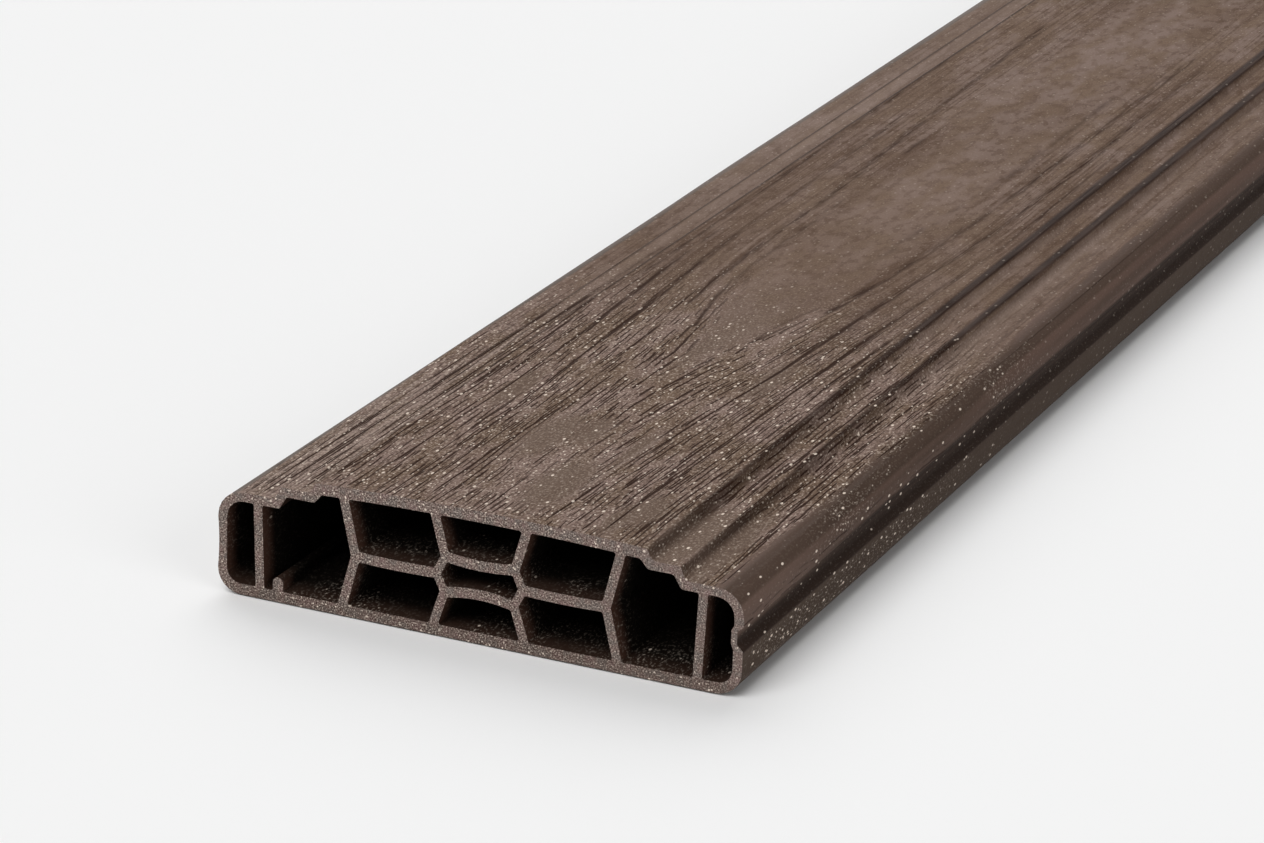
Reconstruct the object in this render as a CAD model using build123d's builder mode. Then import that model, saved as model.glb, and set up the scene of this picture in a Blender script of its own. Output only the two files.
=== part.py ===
# Hollow extruded PVC trim strip, lying flat with its show face up
# X runs across the strip, Y along it, Z up; the origin is the middle of the underside
import os
from math import copysign
from build123d import *

# Overall size, in millimetres
board_length = 2400
board_width = 120
board_thickness = 29.3
core_shift = 1.0

# Walls, webs and plates of the extrusion
bottom_wall = 2.4
crown_wall = 2.4
shelf_wall = 2.0
edge_wall = 2.1
groove_wall = 1.3
web_thickness = 2.1
side_web_thickness = 2.0
plate_thickness = 2.3

# Show face: a crowned field, and two shelves stepping down to each edge
crown_rise = 1.0
upper_riser = 2.4
lower_riser = 2.9
upper_shelf_width_left = 8.2
upper_shelf_width_right = 7.5
lower_shelf_width_left = 14.6
lower_shelf_width_right = 14.2
riser_run = 0.9
step_edge_radius = 0.7
riser_foot_radius = 1.2

# Ceiling of the chambers under those steps
inner_step_run = 1.7
inner_step_setback = 1.5
inner_step_radius_left = 0.5
inner_step_radius_right = 1.1

# Long edges
shoulder_radius = 6.0
bottom_radius_left = 5.2
bottom_radius_right = 4.2
left_side_sink = 0.25
sink_margin = 0.4

# Groove along the right edge
groove_height = 10.1
groove_mouth_width = 5.3
groove_depth = 1.35
groove_upper_slant = 1.0
groove_lower_slant = 1.4
groove_lip_radius = 0.45
groove_floor_radius = 0.6

# Narrow chambers along the edges
edge_chamber_left = 6.6
edge_chamber_right = 6.3
edge_chamber_floor_radius = 3.2
side_web_lean = 0.8

# Stiffening webs, measured from the middle of the core
outer_web_setback = 28.5
outer_web_draw = 2.9
inner_web_foot = 10.4
inner_web_neck = 7.95
inner_web_waist = 9.85
waist_height = 13.8
upper_neck_height = 17.8
lower_neck_height = 10.0
upper_plate_sag = 0.55
lower_plate_rise = 0.8
side_plate_sag = 0.2

# Small upright nib on the floor of the wide left chamber
nib_gap = 2.0
nib_width = 2.4
nib_height = 3.1

# Rounding inside the chambers
chamber_corner_radius = 0.5
nib_root_radius = 0.4

# Places across the section, counted from the middle of the core
left_edge = -board_width / 2 - core_shift
right_edge = board_width / 2 - core_shift
left_chamber_edge = left_edge + edge_wall
right_chamber_edge = right_edge - edge_wall
side_web_left = left_chamber_edge + edge_chamber_left + side_web_thickness / 2
side_web_right = right_chamber_edge - edge_chamber_right - side_web_thickness / 2
outer_web_foot = board_width / 2 - outer_web_setback
outer_web_waist = outer_web_foot - outer_web_draw
nib_middle = side_web_left + (side_web_lean + side_web_thickness + nib_width) / 2 + nib_gap

# Heights above the flat back
crown_edge_height = board_thickness - crown_rise
upper_shelf_height = crown_edge_height - upper_riser
lower_shelf_height = upper_shelf_height - lower_riser
sink_bottom = bottom_radius_left + sink_margin
sink_top = lower_shelf_height - shoulder_radius - sink_margin
ceiling_height = board_thickness - crown_wall


def steps_outside(edge, upper_width, lower_width):
    """Corners of one side's steps, from the crown's edge out to the shoulder."""
    side = copysign(1, edge)
    shelf_corner = edge - side * lower_width
    crown_corner = shelf_corner - side * upper_width
    return [
        (crown_corner, crown_edge_height),
        (crown_corner + side * riser_run, upper_shelf_height),
        (shelf_corner, upper_shelf_height),
        (shelf_corner + side * riser_run, lower_shelf_height),
        (edge, lower_shelf_height),
    ]


def steps_inside(edge, upper_width, lower_width):
    """Corners of the ceiling under one side's steps, in the same order."""
    side = copysign(1, edge)
    shelf_corner = edge - side * (lower_width + inner_step_setback)
    crown_corner = shelf_corner - side * upper_width
    return [
        (crown_corner, crown_edge_height - crown_wall),
        (crown_corner + side * inner_step_run, upper_shelf_height - shelf_wall),
        (shelf_corner, upper_shelf_height - shelf_wall),
        (shelf_corner + side * inner_step_run, lower_shelf_height - shelf_wall),
        (edge - side * edge_wall, lower_shelf_height - shelf_wall),
    ]


def corners_at(sketch, points):
    """The sketch's corners that lie at the given points."""
    return [sketch.vertices().sort_by_distance(point)[0] for point in points]


def upright_web(points, thickness):
    """Corner points of a zigzag strip whose centre line runs through the given points."""
    left_face = [(x - thickness / 2, z) for x, z in points]
    right_face = [(x + thickness / 2, z) for x, z in reversed(points)]
    return left_face + right_face


left_steps = steps_outside(left_edge, upper_shelf_width_left, lower_shelf_width_left)
right_steps = steps_outside(right_edge, upper_shelf_width_right, lower_shelf_width_right)
left_ceiling = steps_inside(left_edge, upper_shelf_width_left, lower_shelf_width_left)
right_ceiling = steps_inside(right_edge, upper_shelf_width_right, lower_shelf_width_right)

# Outline of the strip
with BuildSketch() as outline:
    with BuildLine():
        ThreePointArc(left_steps[0], (0, board_thickness), right_steps[0])
        Polyline(*right_steps, (right_edge, 0), (left_edge, 0))
        Line((left_edge, 0), (left_edge, sink_bottom))
        ThreePointArc(
            (left_edge, sink_bottom),
            (left_edge + left_side_sink, (sink_bottom + sink_top) / 2),
            (left_edge, sink_top),
        )
        Polyline((left_edge, sink_top), *reversed(left_steps))
    make_face()
    fillet(corners_at(outline, [(left_edge, 0)]), bottom_radius_left)
    fillet(corners_at(outline, [(right_edge, 0)]), bottom_radius_right)
    for steps in (left_steps, right_steps):
        crown_corner, crown_foot, shelf_corner, shelf_foot, shoulder = steps
        fillet(corners_at(outline, [crown_corner, shelf_corner]), step_edge_radius)
        fillet(corners_at(outline, [crown_foot, shelf_foot]), riser_foot_radius)
        fillet(corners_at(outline, [shoulder]), shoulder_radius)

# Groove along the right edge
groove_floor = right_edge - groove_depth
groove_mouth_top = groove_height + groove_mouth_width
groove_floor_top = groove_mouth_top - groove_upper_slant
groove_floor_bottom = groove_height + groove_lower_slant
groove_mouth = [(right_edge, groove_mouth_top), (right_edge, groove_height)]
groove_foot = [(groove_floor, groove_floor_bottom), (groove_floor, groove_floor_top)]
groove_rib = [
    (groove_floor, groove_floor_top),
    (right_chamber_edge, groove_mouth_top),
    (groove_floor - groove_wall, groove_floor_top),
    (groove_floor - groove_wall, groove_floor_bottom),
    (right_chamber_edge, groove_height),
    (groove_floor, groove_floor_bottom),
]
with BuildSketch() as grooved:
    add(outline.sketch)
    with BuildLine():
        Polyline(*groove_mouth, *groove_foot, close=True)
    make_face(mode=Mode.SUBTRACT)
    fillet(corners_at(grooved, groove_mouth), groove_lip_radius)
    fillet(corners_at(grooved, groove_foot), groove_floor_radius)

# Chambers: the hollow inside the walls, divided by the webs and plates
with BuildSketch() as chambers:
    with BuildLine():
        ThreePointArc(left_ceiling[0], (0, ceiling_height), right_ceiling[0])
        Polyline(
            *right_ceiling,
            (right_chamber_edge, bottom_wall),
            (left_chamber_edge, bottom_wall),
            *reversed(left_ceiling),
        )
    make_face()
    for side in (-1, 1):
        outer_web = [
            (side * outer_web_foot, 0),
            (side * outer_web_foot, bottom_wall),
            (side * outer_web_waist, waist_height),
            (side * outer_web_foot, ceiling_height),
            (side * outer_web_foot, board_thickness),
        ]
        inner_web = [
            (side * inner_web_foot, 0),
            (side * inner_web_foot, bottom_wall),
            (side * inner_web_neck, lower_neck_height),
            (side * inner_web_waist, waist_height),
            (side * inner_web_neck, upper_neck_height),
            (side * inner_web_foot, ceiling_height),
            (side * inner_web_foot, board_thickness),
        ]
        Polygon(*upright_web(outer_web, web_thickness), align=None, mode=Mode.SUBTRACT)
        Polygon(*upright_web(inner_web, web_thickness), align=None, mode=Mode.SUBTRACT)
    for side, place in ((-1, side_web_left), (1, side_web_right)):
        side_web = [
            (place - side * side_web_lean / 2, 0),
            (place + side * side_web_lean / 2, lower_shelf_height),
        ]
        Polygon(*upright_web(side_web, side_web_thickness), align=None, mode=Mode.SUBTRACT)
    plates = [
        (-inner_web_neck, inner_web_neck, upper_neck_height, -upper_plate_sag),
        (-inner_web_neck, inner_web_neck, lower_neck_height, lower_plate_rise),
        (-outer_web_waist, -inner_web_waist, waist_height, -side_plate_sag),
        (inner_web_waist, outer_web_waist, waist_height, -side_plate_sag),
    ]
    for start, end, height, bow in plates:
        middle = (start + end) / 2
        upper = height + plate_thickness / 2
        lower = height - plate_thickness / 2
        with BuildLine():
            top = ThreePointArc((start, upper), (middle, upper + bow), (end, upper))
            base = ThreePointArc((start, lower), (middle, lower + bow), (end, lower))
            Line(top @ 0, base @ 0)
            Line(top @ 1, base @ 1)
        make_face(mode=Mode.SUBTRACT)
    large_roundings = [
        ([left_ceiling[-1], right_ceiling[-1]], shoulder_radius - edge_wall),
        ([(left_chamber_edge, bottom_wall), (right_chamber_edge, bottom_wall)], edge_chamber_floor_radius),
        (left_ceiling[:-1], inner_step_radius_left),
        (right_ceiling[:-1], inner_step_radius_right),
    ]
    large_corners = [corners_at(chambers, points) for points, radius in large_roundings]
    fillet(chambers.vertices() - sum(large_corners, []), chamber_corner_radius)
    for points, radius in large_roundings:
        for point in points:
            fillet(corners_at(chambers, [point]), radius)

# Whole section: the outline less its chambers, with the nib and the thin wall behind the groove
nib_top_middle = bottom_wall + nib_height - nib_width / 2
nib_roots = [(nib_middle - nib_width / 2, bottom_wall), (nib_middle + nib_width / 2, bottom_wall)]
with BuildSketch() as section:
    add(grooved.sketch)
    add(chambers.sketch, mode=Mode.SUBTRACT)
    with BuildLine():
        Polyline(*groove_rib, close=True)
    make_face()
    with Locations((nib_middle, nib_top_middle / 2)):
        Rectangle(nib_width, nib_top_middle)
    with Locations((nib_middle, nib_top_middle)):
        Circle(nib_width / 2)
    fillet(corners_at(section, nib_roots), nib_root_radius)

# The strip: its section run along the whole length
with BuildPart() as trim_strip:
    with BuildSketch(Plane.XZ):
        with Locations((core_shift, 0)):
            add(section.sketch)
    extrude(amount=board_length / 2, both=True)

trim_strip.part.label = "trim_strip"
os.makedirs("parts", exist_ok=True)
export_step(trim_strip.part, "parts/trim_strip.step")
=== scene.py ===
import math
import bpy
import numpy as np
from mathutils import Matrix, Vector


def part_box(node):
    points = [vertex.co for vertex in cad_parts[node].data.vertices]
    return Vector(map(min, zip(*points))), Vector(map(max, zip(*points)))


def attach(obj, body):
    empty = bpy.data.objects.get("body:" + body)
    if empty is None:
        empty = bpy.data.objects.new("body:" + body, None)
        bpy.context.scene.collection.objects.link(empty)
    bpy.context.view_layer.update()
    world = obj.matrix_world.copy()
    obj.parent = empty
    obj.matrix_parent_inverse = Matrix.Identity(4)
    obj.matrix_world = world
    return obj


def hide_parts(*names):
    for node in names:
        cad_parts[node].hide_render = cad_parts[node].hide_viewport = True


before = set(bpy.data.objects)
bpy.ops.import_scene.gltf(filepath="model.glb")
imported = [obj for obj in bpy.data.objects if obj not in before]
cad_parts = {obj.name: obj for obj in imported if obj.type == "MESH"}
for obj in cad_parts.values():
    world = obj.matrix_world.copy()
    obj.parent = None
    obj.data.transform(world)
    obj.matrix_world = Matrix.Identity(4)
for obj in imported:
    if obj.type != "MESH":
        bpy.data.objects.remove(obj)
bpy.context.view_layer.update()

lowCorner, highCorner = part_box("trim_strip")  # metres, as packed
stripWidth = (highCorner.x - lowCorner.x) * 1000
stripThickness = (highCorner.z - lowCorner.z) * 1000
nearEnd, farEnd = lowCorner.y * 1000, highCorner.y * 1000
leftSide, rightSide = lowCorner.x * 1000, highCorner.x * 1000
print("frame loaded, strip", round(stripWidth, 2), "x", round(stripThickness, 2), "mm")


# the camera, where the photograph was taken from
cameraSettings = {
    "place": (0.39546, -2.0343, 0.38983),  # metres
    "direction": (-0.37315, 0.86098, -0.34564),
    "lens": 137.9,
    "roll": 2.087,  # degrees
}
photoCamera = bpy.data.cameras.new("photoCamera")
photoCamera.lens = cameraSettings["lens"]
photoCamera.sensor_width = 36
photoCamera.clip_start, photoCamera.clip_end = 0.05, 60
cameraObject = bpy.data.objects.new("photoCamera", photoCamera)
bpy.context.scene.collection.objects.link(cameraObject)
turn = Vector(cameraSettings["direction"]).to_track_quat("-Z", "Y").to_matrix()
turn = turn @ Matrix.Rotation(math.radians(cameraSettings["roll"]), 3, "Z")
cameraObject.matrix_world = Matrix.Translation(cameraSettings["place"]) @ turn.to_4x4()
bpy.context.scene.camera = cameraObject
print("camera placed")


def fromPaint(red, green, blue):
    # a colour given as 0-255 turned into the linear one that nodes take
    linear = [((c / 255 + 0.055) / 1.055) ** 2.4 if c > 10 else c / 255 / 12.92 for c in (red, green, blue)]
    return (*linear, 1.0)


class Signal:
    # wraps an output socket so that shader maths can be written as sums
    def __init__(self, tree, socket=None):
        self.tree = tree
        self.socket = socket

    def node(self, kind, settings=None, inputs=None, output=0):
        made = self.tree.nodes.new(kind)
        for name, value in (settings or {}).items():
            setattr(made, name, value)
        for name, value in (inputs or {}).items():
            if isinstance(value, Signal):
                self.tree.links.new(value.socket, made.inputs[name])
            else:
                made.inputs[name].default_value = value
        return Signal(self.tree, made.outputs[output])

    def maths(self, operation, first, second=0.0, clamp=False):
        return self.node("ShaderNodeMath", {"operation": operation, "use_clamp": clamp}, {0: first, 1: second})

    def __add__(self, other):
        return self.maths("ADD", self, other)

    __radd__ = __add__

    def __sub__(self, other):
        return self.maths("SUBTRACT", self, other)

    def __rsub__(self, other):
        return self.maths("SUBTRACT", other, self)

    def __mul__(self, other):
        return self.maths("MULTIPLY", self, other)

    __rmul__ = __mul__

    def __gt__(self, other):
        return self.maths("GREATER_THAN", self, other)

    def __lt__(self, other):
        return self.maths("LESS_THAN", self, other)

    def step(self, low, high):
        # 0 below low, 1 above high, smooth between
        limits = {"Value": self, "From Min": low, "From Max": high}
        return self.node("ShaderNodeMapRange", {"interpolation_type": "SMOOTHSTEP"}, limits)

    def clip(self):
        return self.maths("ADD", self, 0.0, clamp=True)

    def blend(self, under, over):
        # this signal is how much of the colour over covers the colour under
        return self.node("ShaderNodeMix", {"data_type": "RGBA"}, {0: self, 6: under, 7: over}, output=2)

    def point(self, x, y, z=0.0):
        return self.node("ShaderNodeCombineXYZ", None, {"X": x, "Y": y, "Z": z})

    def split(self, vector):
        # the three parts of a vector
        parts = self.node("ShaderNodeSeparateXYZ", None, {"Vector": vector}).socket.node.outputs
        return [Signal(self.tree, part) for part in parts]

    def noise(self, vector, scale=1.0, detail=2.0, rough=0.5, dimensions="3D"):
        inputs = {"Vector": vector, "Scale": scale, "Detail": detail, "Roughness": rough}
        return self.node("ShaderNodeTexNoise", {"noise_dimensions": dimensions}, inputs)

    def to(self, socket):
        self.tree.links.new(self.socket, socket)


def newMaterial(name):
    material = bpy.data.materials.new(name)
    material.use_nodes = True
    tree = material.node_tree
    tree.nodes.clear()
    shader = tree.nodes.new("ShaderNodeBsdfPrincipled")
    output = tree.nodes.new("ShaderNodeOutputMaterial")
    tree.links.new(shader.outputs[0], output.inputs["Surface"])
    return material, shader, Signal(tree)


# the strip's section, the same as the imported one
section = {
    "coreShift": 1.0,  # the core stands this far right of the middle, mm
    "bottomWall": 2.4, "crownWall": 2.4, "shelfWall": 2.0, "edgeWall": 2.1, "web": 2.1, "sideWeb": 2.0,
    "plate": 2.3,
    "crownEdge": 28.3,  # height of the crown's two edges
    "upperRiser": 2.4, "lowerRiser": 2.9,
    "upperShelf": (8.2, 7.5),  # left, right
    "lowerShelf": (14.6, 14.2), "riserRun": 0.9, "stepEdgeRadius": 0.7,
    "riserFootRadius": 2.0,  # worn softer than drawn
    "innerStepRun": 1.7, "innerStepSetback": 1.5, "innerStepRadius": (0.5, 1.1), "shoulderRadius": 6.0,
    "bottomRadius": (5.2, 5.6),  # right one worn rounder than drawn
    "sideSink": 0.25, "sinkMargin": 0.4, "grooveHeight": 10.1, "grooveMouth": 5.3, "grooveDepth": 1.35,
    "grooveWall": 1.3,
    "grooveSlants": (1.4, 1.0),  # lower, upper
    "grooveLip": 0.45, "grooveFloor": 0.6, "edgeChamber": (6.6, 6.3), "edgeChamberFloor": 3.2,
    "sideWebLean": 0.8, "outerWebSetback": 28.5, "outerWebDraw": 2.9,
    "innerWeb": (10.4, 7.95, 9.85),  # foot, neck and waist from the middle
    "waistHeight": 13.8, "neckHeights": (10.0, 17.8),
    "plateBows": (0.8, -0.55, -0.2),  # lower, upper, side
    "nib": (2.4, 3.1),  # width, height
    "nibGap": 2.0, "nibRoot": 0.4, "chamberCorner": 0.5, "waistRound": 0.9,
}
s = section
left = leftSide - s["coreShift"]
right = rightSide - s["coreShift"]
edgeHeight = s["crownEdge"]
upperHeight = edgeHeight - s["upperRiser"]
lowerHeight = upperHeight - s["lowerRiser"]


def arcThrough(start, end, bow, pieces):
    # points of a flat arc from start to end that stands bow above their line
    (x0, z0), (x1, z1) = start, end
    if not bow:
        return [(x0 + (x1 - x0) * i / pieces, z0 + (z1 - z0) * i / pieces) for i in range(pieces + 1)]
    half = math.hypot(x1 - x0, z1 - z0) / 2
    radius = (half * half + bow * bow) / (2 * abs(bow))
    points = []
    for i in range(pieces + 1):
        t = -half + 2 * half * i / pieces
        rise = math.copysign(math.sqrt(radius * radius - t * t) - (radius - abs(bow)), bow)
        along = (t + half) / (2 * half)
        nx, nz = -(z1 - z0) / (2 * half), (x1 - x0) / (2 * half)
        points.append((x0 + (x1 - x0) * along + nx * rise, z0 + (z1 - z0) * along + nz * rise))
    return points


def roundCorners(corners, pieces):
    # corners are (x, z, radius) in order round a closed loop; a radius of 0 keeps the point
    loop = []
    for i, (x, z, radius) in enumerate(corners):
        here = Vector((x, z))
        if not radius:
            loop.append((x, z))
            continue
        back = (Vector(corners[i - 1][:2]) - here).normalized()
        ahead = (Vector(corners[(i + 1) % len(corners)][:2]) - here).normalized()
        half = back.angle(ahead) / 2
        centre = here + (back + ahead).normalized() * (radius / math.sin(half))
        first = here + back * (radius / math.tan(half)) - centre
        last = here + ahead * (radius / math.tan(half)) - centre
        sweep = first.angle_signed(last)
        steps = max(2, round(pieces * abs(sweep) / (math.pi / 2)))
        for k in range(steps + 1):
            angle = -sweep * k / steps
            loop.append((
                centre.x + first.x * math.cos(angle) - first.y * math.sin(angle),
                centre.y + first.x * math.sin(angle) + first.y * math.cos(angle),
            ))
    return loop


def stepCorners(side, inside):
    # the steps of one side from the crown's edge to the shoulder, on the face or on the ceiling under it
    index = 0 if side < 0 else 1
    edge = left if side < 0 else right
    setback = s["innerStepSetback"] if inside else 0
    run = s["innerStepRun"] if inside else s["riserRun"]
    crownDrop, shelfDrop = (s["crownWall"], s["shelfWall"]) if inside else (0, 0)
    shelfCorner = edge - side * (s["lowerShelf"][index] + setback)
    crownCorner = shelfCorner - side * s["upperShelf"][index]
    outer = edge - side * (s["edgeWall"] if inside else 0)
    return [
        (crownCorner, edgeHeight - crownDrop),
        (crownCorner + side * run, upperHeight - shelfDrop),
        (shelfCorner, upperHeight - shelfDrop),
        (shelfCorner + side * run, lowerHeight - shelfDrop),
        (outer, lowerHeight - shelfDrop),
    ]


def outlineCorners():
    edge, foot, shoulder = s["stepEdgeRadius"], s["riserFootRadius"], s["shoulderRadius"]
    radii = [edge, foot, edge, foot, shoulder]
    leftSteps = [(x, z, r) for (x, z), r in zip(stepCorners(-1, False), radii)]
    rightSteps = [(x, z, r) for (x, z), r in zip(stepCorners(1, False), radii)]
    crown = arcThrough(leftSteps[0][:2], rightSteps[0][:2], stripThickness - edgeHeight, pieces=60)[1:-1]
    sinkLow = s["bottomRadius"][0] + s["sinkMargin"]
    sinkHigh = lowerHeight - shoulder - s["sinkMargin"]
    sink = arcThrough((left, sinkLow), (left, sinkHigh), -s["sideSink"], pieces=10)
    mouthLow, mouthHigh = s["grooveHeight"], s["grooveHeight"] + s["grooveMouth"]
    floorPlace = right - s["grooveDepth"]
    lowSlant, highSlant = s["grooveSlants"]
    groove = [
        (right, mouthHigh, s["grooveLip"]),
        (floorPlace, mouthHigh - highSlant, s["grooveFloor"]),
        (floorPlace, mouthLow + lowSlant, s["grooveFloor"]),
        (right, mouthLow, s["grooveLip"]),
    ]
    return (
        [(left, 0, s["bottomRadius"][0])]
        + [(x, z, 0) for x, z in sink]
        + list(reversed(leftSteps))
        + [(x, z, 0) for x, z in crown]
        + rightSteps
        + groove
        + [(right, 0, s["bottomRadius"][1])]
    )


def chamberCorners():
    # every chamber's corners, clockwise, with the rounding of each
    floor, ceiling = s["bottomWall"], stripThickness - s["crownWall"]
    halfWeb, halfSide, halfPlate = s["web"] / 2, s["sideWeb"] / 2, s["plate"] / 2
    small, waist = s["chamberCorner"], s["waistHeight"]
    footPlace, neckPlace, waistPlace = s["innerWeb"]
    neckLow, neckHigh = s["neckHeights"]
    lowBow, highBow, sideBow = s["plateBows"]
    outerFoot = stripWidth / 2 - s["outerWebSetback"]
    outerWaist = outerFoot - s["outerWebDraw"]
    ceilingSteps = {side: stepCorners(side, True) for side in (-1, 1)}
    arcEnds = ceilingSteps[-1][0], ceilingSteps[1][0]
    ceilingRise = ceiling - arcEnds[0][1]

    def onCeiling(x):
        # the point of the crown's underside at x
        half = (arcEnds[1][0] - arcEnds[0][0]) / 2
        middle = (arcEnds[1][0] + arcEnds[0][0]) / 2
        radius = (half * half + ceilingRise * ceilingRise) / (2 * ceilingRise)
        return (x, ceiling - radius + math.sqrt(radius * radius - (x - middle) ** 2))

    def along(points, z):
        # place of a zigzag web's middle line at height z
        for (x0, z0), (x1, z1) in zip(points, points[1:]):
            if z0 <= z <= z1:
                return x0 + (x1 - x0) * (z - z0) / (z1 - z0)
        return points[-1][0]

    outerLine = [(outerFoot, floor), (outerWaist, waist), (outerFoot, ceiling)]
    innerLine = [(footPlace, floor), (neckPlace, neckLow), (waistPlace, waist)]
    innerLine += [(neckPlace, neckHigh), (footPlace, ceiling)]

    def outerWeb(side, z):
        return side * along(outerLine, z)

    def innerWeb(side, z):
        return side * along(innerLine, z)

    def plain(points):
        return [(x, z, small) for x, z in points]

    def bowed(start, end, bow):
        # the points between two corners along a bowed plate
        return [(x, z, 0) for x, z in arcThrough(start, end, bow, pieces=10)[1:-1]]

    def meet(web, side, offset, height):
        # where a web's face crosses a height
        return (web(side, height) + offset, height)

    def acrossCore(height):
        # the inner webs' faces towards the middle at a height, right and left
        return meet(innerWeb, 1, -halfWeb, height), meet(innerWeb, -1, halfWeb, height)

    chambers = []
    # edge chambers
    for side in (-1, 1):
        index = 0 if side < 0 else 1
        outer = (left if side < 0 else right) - side * s["edgeWall"]
        place = outer - side * (s["edgeChamber"][index] + halfSide)
        lean = s["sideWebLean"]
        top = lowerHeight - s["shelfWall"]

        def sideFace(z, offset):
            return place - side * lean / 2 + side * lean * z / lowerHeight + offset

        ring = [
            (outer, floor, s["edgeChamberFloor"]),
            (outer, top, s["shoulderRadius"] - s["edgeWall"]),
            (sideFace(top, side * halfSide), top, small),
            (sideFace(floor, side * halfSide), floor, small),
        ]
        if side > 0:
            rib = s["grooveDepth"] + s["grooveWall"]
            low, high = s["grooveHeight"], s["grooveHeight"] + s["grooveMouth"]
            lowSlant, highSlant = s["grooveSlants"]
            ring[1:1] = [
                (outer, low, 0), (right - rib, low + lowSlant, 0),
                (right - rib, high - highSlant, 0), (outer, high, 0),
            ]
        chambers.append(ring)
        # wide chamber beside it, under the steps
        steps = ceilingSteps[side]
        stepRadius = s["innerStepRadius"][index]
        webFace = -side * halfSide
        ring = [(sideFace(floor, webFace), floor, small), (sideFace(top, webFace), top, small)]
        ring += [(x, z, stepRadius) for x, z in reversed(steps[:4])]
        faceOffset = side * halfWeb
        topPlace = outerWeb(side, ceiling) + faceOffset
        ring += [(*onCeiling(x), 0) for x in np.linspace(steps[0][0], topPlace, 5)[1:-1]]
        ring += plain([onCeiling(topPlace)])
        ring += [(*meet(outerWeb, side, faceOffset, waist), s["waistRound"])]
        ring += [(*meet(outerWeb, side, faceOffset, floor), small)]
        if side < 0:
            nibWidth, nibHeight = s["nib"]
            middle = place + (lean + s["sideWeb"] + nibWidth) / 2 + s["nibGap"]
            root, crown = s["nibRoot"], floor + nibHeight
            cap = nibWidth / 2 - 0.01  # a touch less, so that the roundings stay apart
            ring += [
                (middle + nibWidth / 2, floor, root),
                (middle + nibWidth / 2, crown, cap),
                (middle - nibWidth / 2, crown, cap),
                (middle - nibWidth / 2, floor, root),
            ]
        chambers.append(ring)
        # upper and lower chambers between the outer and inner webs
        inner, outerOffset = side * halfWeb, -side * halfWeb
        innerLow = meet(innerWeb, side, inner, waist + halfPlate)
        outerLow = meet(outerWeb, side, outerOffset, waist + halfPlate)
        topOuter, topInner = outerWeb(side, ceiling) + outerOffset, innerWeb(side, ceiling) + inner
        ring = plain([onCeiling(topInner), meet(innerWeb, side, inner, neckHigh), innerLow])
        ring += bowed(innerLow, outerLow, side * sideBow)
        ring += plain([outerLow, onCeiling(topOuter)])
        ring += [(*onCeiling(x), 0) for x in np.linspace(topOuter, topInner, 6)[1:-1]]
        chambers.append(ring)
        innerTop = meet(innerWeb, side, inner, waist - halfPlate)
        outerTop = meet(outerWeb, side, outerOffset, waist - halfPlate)
        ring = plain([meet(outerWeb, side, outerOffset, floor), outerTop])
        ring += bowed(outerTop, innerTop, -side * sideBow)
        ring += plain([innerTop, meet(innerWeb, side, inner, neckLow), meet(innerWeb, side, inner, floor)])
        chambers.append(ring)
    # three chambers in the middle
    highLine, lowLine = neckHigh + halfPlate, neckHigh - halfPlate
    topPlace = innerWeb(1, ceiling) - halfWeb
    upper = plain([onCeiling(-topPlace)])
    upper += [(*onCeiling(x), 0) for x in np.linspace(-topPlace, topPlace, 6)[1:-1]]
    upper += plain([onCeiling(topPlace)])
    rightFoot, leftFoot = acrossCore(highLine)
    upper += plain([rightFoot]) + bowed(rightFoot, leftFoot, -highBow) + plain([leftFoot])
    chambers.append(upper)
    (rightTop, leftTop), (rightWaist, leftWaist) = acrossCore(lowLine), acrossCore(waist)
    rightLow, leftLow = acrossCore(neckLow + halfPlate)
    middle = plain([leftTop]) + bowed(leftTop, rightTop, highBow) + plain([rightTop, rightWaist])
    middle += plain([rightLow]) + bowed(rightLow, leftLow, -lowBow) + plain([leftLow, leftWaist])
    chambers.append(middle)
    rightTop, leftTop = acrossCore(neckLow - halfPlate)
    lower = plain([leftTop]) + bowed(leftTop, rightTop, lowBow) + plain([rightTop])
    lower += plain([(innerWeb(1, floor) - halfWeb, floor), (innerWeb(-1, floor) + halfWeb, floor)])
    chambers.append(lower)
    return chambers


def turned(loop):
    # the same loop, always clockwise as seen from the near end
    area = sum(x0 * z1 - x1 * z0 for (x0, z0), (x1, z1) in zip(loop, loop[1:] + loop[:1]))
    return loop if area < 0 else loop[::-1]


def divided(loop, spacingAt):
    # puts points between the loop's own, no further apart than spacingAt says
    dense = []
    for (x0, z0), (x1, z1) in zip(loop, loop[1:] + loop[:1]):
        pieces = max(1, math.ceil(math.hypot(x1 - x0, z1 - z0) / spacingAt((x0 + x1) / 2, (z0 + z1) / 2) - 0.01))
        dense += arcThrough((x0, z0), (x1, z1), 0, pieces)[:-1]
    return dense


# how close the mesh is, in mm
meshSettings = {
    "faceSpacing": 0.27,  # between columns on the show face
    "faceDepth": 2.2,  # how far below the lower shelves that holds
    "sideSpacing": 1.3,
    "backSpacing": 9.0,
    "rings": [(160, 5.0), (340, 8.0), (1650, 34.0), (250, 12.0)],  # length, spacing
    "chamberRings": (60, 240),  # from each end
}


def outlineSpacing(x, z):
    if z > lowerHeight - meshSettings["faceDepth"]:
        return meshSettings["faceSpacing"]
    if z < 0.01:
        return meshSettings["backSpacing"]
    return meshSettings["sideSpacing"]


ringPlaces = [nearEnd]
for reach, spacing in meshSettings["rings"]:
    count = round(reach / spacing)
    ringPlaces += [ringPlaces[-1] + reach * (i + 1) / count for i in range(count)]
ringPlaces = np.array(ringPlaces)

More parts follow.
